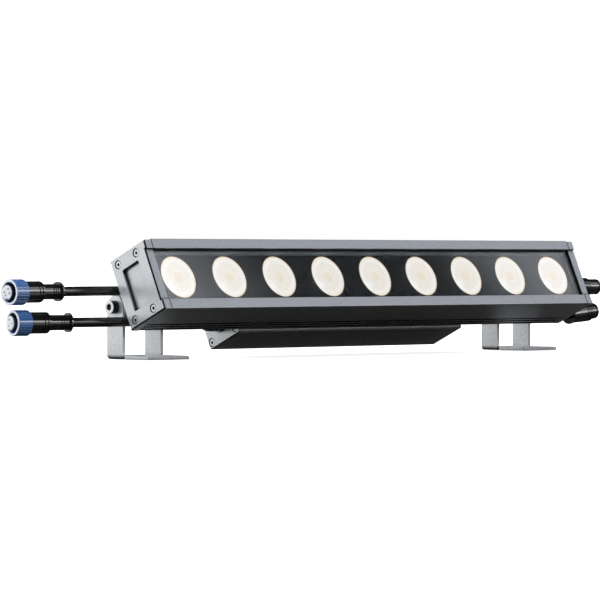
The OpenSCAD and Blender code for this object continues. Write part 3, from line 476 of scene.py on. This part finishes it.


# Every slot with its colour and roughness; the edge and the reach of the painted shade in recesses are in metres
MATERIALS = {
    # Painted shade on the housing: its faces to the lit side are painted darker, as less light falls on them; its
    # recesses, walls and slanted end edges get painted shade too
    "frame_metal": finish("frame_metal", (0.58, 0.59, 0.6), 0.3, metallic=0.5, vary=0.02,
                          bump=0.03, edge=0.00025, shade_reach=0.0035, shaded_walls=True,
                          shade_range=(0.52, 0.88), painted=(off_shaded_face, (0.4, 0.41, 0.425))),
    "bracket_metal": finish("bracket_metal", (0.66, 0.675, 0.68), 0.3, metallic=0.5, vary=0.02,
                            bump=0.03, edge=0.0003, shade_reach=0.004),
    # Painted light and shade on the seal: behind the glass it is painted pale in place of the light on its lip;
    # its front is black, partly the rubber and partly painted shade of the gap
    "seal_rubber": finish("seal_rubber", (0.5, 0.54, 0.57), 0.5, grain=900, specular=0.2,
                          painted=(behind_seal_front, GAP_SHADE_BLACK)),
    "lead_rubber": finish("lead_rubber", (0.008, 0.007, 0.007), 0.2, grain=1200, specular=0.8),
    "black_plastic": finish("black_plastic", (0.008, 0.008, 0.008), 0.14, grain=900, bump=0.03,
                            specular=0.3, coat=1.0, edge=0.00025, shade_reach=0.0008),
    "front_glass": glass_finish("front_glass"),
    "plate_black": finish("plate_black", (0.02, 0.021, 0.023), 0.11, grain=600, bump=0.001,
                          spread=0.002, painted=(below_strip, (0.34, 0.37, 0.39))),
    "lens_lit": lens_finish("lens_lit"),
    "holder_grey": finish("holder_grey", (0.1, 0.1, 0.1), 0.5),
    "board_white": finish("board_white", (0.72, 0.73, 0.7), 0.5),
    "emitter": finish("emitter", (0.9, 0.75, 0.35), 0.4),
    # Painted shade: the screws' and bolts' sides and sockets are painted near-black, in place of the shade on
    # them; their end faces keep the steel
    "screw_steel": finish("screw_steel", (0.7, 0.71, 0.72), 0.25, metallic=0.6, vary=0.02, bump=0.03,
                          edge=0.0002, shade_reach=0.0014, painted=(on_ends, SHADED_SIDE_BLACK)),
    "washer_plastic": finish("washer_plastic", (0.6, 0.6, 0.57), 0.45),
    "board_green": finish("board_green", (0.03, 0.12, 0.05), 0.4),
    "coil_yellow": finish("coil_yellow", (0.5, 0.33, 0.04), 0.5),
    "capacitor_blue": finish("capacitor_blue", (0.03, 0.04, 0.14), 0.35),
    "terminal_green": finish("terminal_green", (0.05, 0.25, 0.08), 0.45),
    "wire_red": finish("wire_red", (0.3, 0.01, 0.01), 0.4),
    # Painted light: the nuts' end faces are painted pale, in place of the bright light that falls on them
    "nut_blue": finish("nut_blue", (0.025, 0.14, 0.45), 0.24, coat=1.0, specular=0.7, edge=0.0002,
                       shade_reach=0.0005, painted=(off_ends, (0.78, 0.81, 0.83))),
    "insert_plastic": finish("insert_plastic", (0.76, 0.78, 0.79), 0.4, edge=0.0002, shade_reach=0.0012,
                             shade_range=(0.45, 0.8)),
    "pin_brass": finish("pin_brass", (0.7, 0.5, 0.2), 0.25, metallic=1.0),
}


def dress_nodes():
    """Gives every CAD node the material of its slot."""
    slots = {entry["node"]: entry["material_slot"] for entry in frame["record"]["subparts"]}
    for name in frame["nodes"]:
        node = bpy.data.objects[name]
        material = MATERIALS[slots[name]]
        if not node.material_slots:
            node.data.materials.append(material)
        for place in node.material_slots:
            place.material = material


# Leads

def exit_point(side, level):
    """Where a lead leaves its gland, from its connector's joint; the right ones mirror the left."""
    tip = Vector(ROUTES["left_" + level][-1]) * MM
    exit_at = Vector(JOINTS["coupling_nut_%s_turn" % level]["pos_m"]) - tip
    return Vector((-exit_at.x, exit_at.y, exit_at.z)) if side == "right" else exit_at


def make_lead(side, level):
    """A round cable through the route's points, as a curve with soft handles."""
    name = "lead_%s_%s" % (side, level)
    start = exit_point(side, level)
    points = [start + Vector(p) * MM for p in ROUTES["%s_%s" % (side, level)]]
    curve = bpy.data.curves.new(name + "_cable", "CURVE")
    curve.dimensions = "3D"
    curve.bevel_depth = LEAD_D / 2
    curve.bevel_resolution = LEAD_ROUND_STEPS
    curve.resolution_u = LEAD_LONG_STEPS
    curve.use_fill_caps = True
    spline = curve.splines.new("BEZIER")
    spline.bezier_points.add(len(points) - 1)
    for knot, point in zip(spline.bezier_points, points):
        knot.co = point
        knot.handle_left_type = "AUTO"
        knot.handle_right_type = "AUTO"
    cable = new_object(name + "_cable", curve)
    cable.data.materials.append(MATERIALS["lead_rubber"])
    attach(cable, "housing")
    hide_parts(name)


# Lenses

LENS_SIDES = 96
# The rings of points on the eye's slope and on the flat face, as shares of the radius
EYE_SLOPE = 0.8
FACE_RING = 0.7
# Edges of a lens sharper than this stay sharp
LENS_SHARP = math.radians(40)


def lathe(name, profile, sides):
    """A mesh turned about local Z from (radius, height) points."""
    mesh = bpy.data.meshes.new(name)
    shape = bmesh.new()
    rings = []
    for r, z in profile:
        angles = [2 * math.pi * k / sides for k in range(sides if r else 1)]
        rings.append([shape.verts.new((r * math.cos(a), r * math.sin(a), z)) for a in angles])
    for a, b in zip(rings, rings[1:]):
        for k in range(sides):
            corners = [a[k % len(a)], a[(k + 1) % len(a)], b[(k + 1) % len(b)], b[k % len(b)]]
            shape.faces.new(list(dict.fromkeys(corners)))
    bmesh.ops.recalc_face_normals(shape, faces=shape.faces)
    shape.to_mesh(mesh)
    shape.free()
    return new_object(name, mesh)


def make_lens(number):
    """A lens lit from behind, with a rounded rim; local -Z is the way it faces."""
    node = "lens_%d" % number
    low, high = (Vector(corner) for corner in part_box(node))
    face_at = PIVOT - ALONG * (PIVOT_U - LENS_U)
    face_at.x = (low.x + high.x) / 2
    profile = [(0, EYE_DEPTH), (EYE_SLOPE * EYE_R, EYE_SLOPE * EYE_DEPTH), (EYE_R, 0),
               (FACE_RING * LENS_R, 0), (LENS_R - LENS_ROUND, 0), (LENS_R, LENS_ROUND),
               (LENS_R, LENS_RIM), (LENS_BACK_R, LENS_RIM), (LENS_END_R, LENS_H), (0, LENS_H)]
    piece = lathe(node + "_lit", profile, LENS_SIDES)
    turn = Vector((0, 0, 1)).rotation_difference(ALONG).to_matrix().to_4x4()
    piece.matrix_world = Matrix.Translation(face_at) @ turn
    for face in piece.data.polygons:
        face.use_smooth = True
    piece.data.set_sharp_from_angle(angle=LENS_SHARP)
    piece.data.materials.append(MATERIALS["lens_lit"])
    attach(piece, "housing")
    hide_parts(node)


# Light

# Panels that metal, glass and gloss reflect: azimuths, heights, strength and softness of the edge
PANELS = [
    ((80, 172), (-60, 32), 1.35, 6),
    ((-25, 80), (-6, 22), 0.22, 5),
    ((-72, -33), (6, 20), 4.3, 3),
    ((-30.3, -18), (24, 40), 1.2, 0.9),
    ((-52, -34.1), (26, 42), 0.9, 0.8),
    ((-52, -34.8), (26, 42), 0.7, 0.4),
    ((40, 180), (38, 80), 0.6, 6),
]
# Soft lights for matt surfaces: azimuth, height, width and strength
LOBES = [
    (-60, 50, 85, 0.25),
    (175, 15, 80, 2.3),
    (60, 40, 90, 0.8),
    (5, 25, 75, 0.7),
]
# The light from everywhere else, for gloss and for matt surfaces
GLOSS_BASE = 0.02
MATT_BASE = 0.03
# The colour of the light from high up, and the heights in degrees between which it sets in
SKY_TINT = (0.94, 0.975, 1.06)
SKY_FROM = 10
SKY_TO = 25

FLOOR_SIZE = 60
FLOOR_GAP = 0.2 * MM
FLOOR_COLOR = (0.8, 0.8, 0.8, 1)
FLOOR_GLOW = 0.75
# The floor as everything but the camera sees it, painted dark as shade, beside what gloss sees of it further off
FLOOR_SHADE = (0.04, 0.04, 0.036, 1)
# How far from the fixture gloss sees it dim, a painted shadow, where it is white, and how much its length counts
# in that
FLOOR_DIM = 0.05
FLOOR_WHITE = 0.2
FLOOR_BEYOND = 0.9
FLOOR_SQUEEZE = (0.15, 1, 0)
# The white that gloss sees fades, as painted shade, from the fixture's left to its right, between these places
# along X, to this share
FADE_FROM = -0.3
FADE_TO = 0.1
FADE_SHARE = 0.15


def sky_direction(azimuth, elevation):
    """A direction by its angle from +X towards +Y and its height, in degrees."""
    a = math.radians(azimuth)
    e = math.radians(elevation)
    return Vector((math.cos(a) * math.cos(e), math.sin(a) * math.cos(e), math.sin(e))).normalized()


def lobe(nodes, links, place, azimuth, elevation, width, strength):
    """A soft patch of light round a direction of the sky, in degrees."""
    near = vector_node(nodes, links, "DOT_PRODUCT", place, sky_direction(azimuth, elevation))
    return smooth_step(nodes, links, near, math.cos(math.radians(width)), 1, 0, strength)


def panel(nodes, links, around, height, sides, ends, strength, soft):
    """A lit panel of the studio between two azimuths and two heights, in degrees, with soft edges."""
    parts = [smooth_step(nodes, links, around, sides[0] - soft, sides[0] + soft),
             smooth_step(nodes, links, around, sides[1] - soft, sides[1] + soft, 1, 0),
             smooth_step(nodes, links, height, ends[0] - 2 * soft, ends[0] + 2 * soft),
             smooth_step(nodes, links, height, ends[1] - 2 * soft, ends[1] + 2 * soft, 1, 0)]
    total = strength
    for part in parts:
        total = math_node(nodes, links, "MULTIPLY", part, total)
    return total


def make_world():
    """White for the camera. Metal and glass see the white backdrop too, and beside it the studio's
    panels and its dark camera side; matt surfaces are lit by soft lobes."""
    world = bpy.data.worlds.new("studio")
    bpy.context.scene.world = world
    world.use_nodes = True
    nodes, links = world.node_tree.nodes, world.node_tree.links
    nodes.clear()
    place = nodes.new("ShaderNodeTexCoord").outputs["Generated"]
    split = nodes.new("ShaderNodeSeparateXYZ")
    links.new(place, split.inputs[0])
    turn = math_node(nodes, links, "ARCTAN2", split.outputs["Y"], split.outputs["X"])
    around = math_node(nodes, links, "MULTIPLY", turn, math.degrees(1))
    rise = math_node(nodes, links, "ARCSINE", split.outputs["Z"])
    height = math_node(nodes, links, "MULTIPLY", rise, math.degrees(1))
    mirrored = GLOSS_BASE
    for numbers in PANELS:
        lit = panel(nodes, links, around, height, *numbers)
        mirrored = math_node(nodes, links, "ADD", lit, mirrored)
    matt = MATT_BASE
    for numbers in LOBES:
        matt = math_node(nodes, links, "ADD", lobe(nodes, links, place, *numbers), matt)
    path = nodes.new("ShaderNodeLightPath")
    to_camera = path.outputs["Is Camera Ray"]
    amount = mix_numbers(nodes, links, seen_in_gloss(nodes, links, path), matt, mirrored)
    unseen = math_node(nodes, links, "SUBTRACT", 1, to_camera)
    high = smooth_step(nodes, links, height, SKY_FROM, SKY_TO)
    tinted = math_node(nodes, links, "MULTIPLY", high, unseen)
    shine = nodes.new("ShaderNodeBackground")
    links.new(mix_numbers(nodes, links, to_camera, amount, 1), shine.inputs["Strength"])
    links.new(mix_colors(nodes, links, tinted, (1, 1, 1), SKY_TINT), shine.inputs["Color"])
    out = nodes.new("ShaderNodeOutputWorld")
    links.new(shine.outputs[0], out.inputs["Surface"])


def make_floor():
    """A pale floor: white to the camera with the object's soft shadow. To everything else it is dark, painted
    shade; metal and glass see it dim close to the fixture, a painted shadow, white further off, and dimmer
    towards the fixture's right."""
    mesh = bpy.data.meshes.new("floor")
    shape = bmesh.new()
    bmesh.ops.create_grid(shape, x_segments=1, y_segments=1, size=FLOOR_SIZE)
    shape.to_mesh(mesh)
    shape.free()
    floor = new_object("floor", mesh)
    floor.location.z = CAD_BOX[0][2] - FLOOR_GAP
    material, nodes, links, shader = new_material("floor_white")
    shader.inputs["Base Color"].default_value = FLOOR_COLOR
    shader.inputs["Roughness"].default_value = 1
    shader.inputs["Specular IOR Level"].default_value = 0
    shader.inputs["Emission Color"].default_value = (1, 1, 1, 1)
    shader.inputs["Emission Strength"].default_value = FLOOR_GLOW
    dim = nodes.new("ShaderNodeBsdfDiffuse")
    dim.inputs["Color"].default_value = FLOOR_SHADE
    place = object_place(nodes)
    squeezed = vector_node(nodes, links, "MULTIPLY", place, FLOOR_SQUEEZE)
    away = vector_node(nodes, links, "LENGTH", squeezed)
    beyond = smooth_step(nodes, links, away, FLOOR_DIM, FLOOR_WHITE, 0, FLOOR_BEYOND)
    split = nodes.new("ShaderNodeSeparateXYZ")
    links.new(place, split.inputs[0])
    fade = smooth_step(nodes, links, split.outputs["X"], FADE_FROM, FADE_TO, 1, FADE_SHARE)
    glow = nodes.new("ShaderNodeEmission")
    glow.inputs["Color"].default_value = (1, 1, 1, 1)
    links.new(math_node(nodes, links, "MULTIPLY", beyond, fade), glow.inputs["Strength"])
    path = nodes.new("ShaderNodeLightPath")
    both = nodes.new("ShaderNodeAddShader")
    links.new(dim.outputs[0], both.inputs[0])
    links.new(glow.outputs[0], both.inputs[1])
    unseen = nodes.new("ShaderNodeMixShader")
    links.new(seen_in_gloss(nodes, links, path), unseen.inputs[0])
    links.new(dim.outputs[0], unseen.inputs[1])
    links.new(both.outputs[0], unseen.inputs[2])
    seen = nodes.new("ShaderNodeMixShader")
    links.new(path.outputs["Is Camera Ray"], seen.inputs[0])
    links.new(unseen.outputs[0], seen.inputs[1])
    links.new(shader.outputs[0], seen.inputs[2])
    links.new(seen.outputs[0], nodes["Material Output"].inputs["Surface"])
    mesh.materials.append(material)


make_camera()
for lead_side in ("left", "right"):
    for lead_level in ("lower", "upper"):
        make_lead(lead_side, lead_level)
dress_nodes()
for lens_number in range(1, LENS_COUNT + 1):
    make_lens(lens_number)
make_world()
make_floor()
bpy.context.scene.view_settings.view_transform = "Standard"
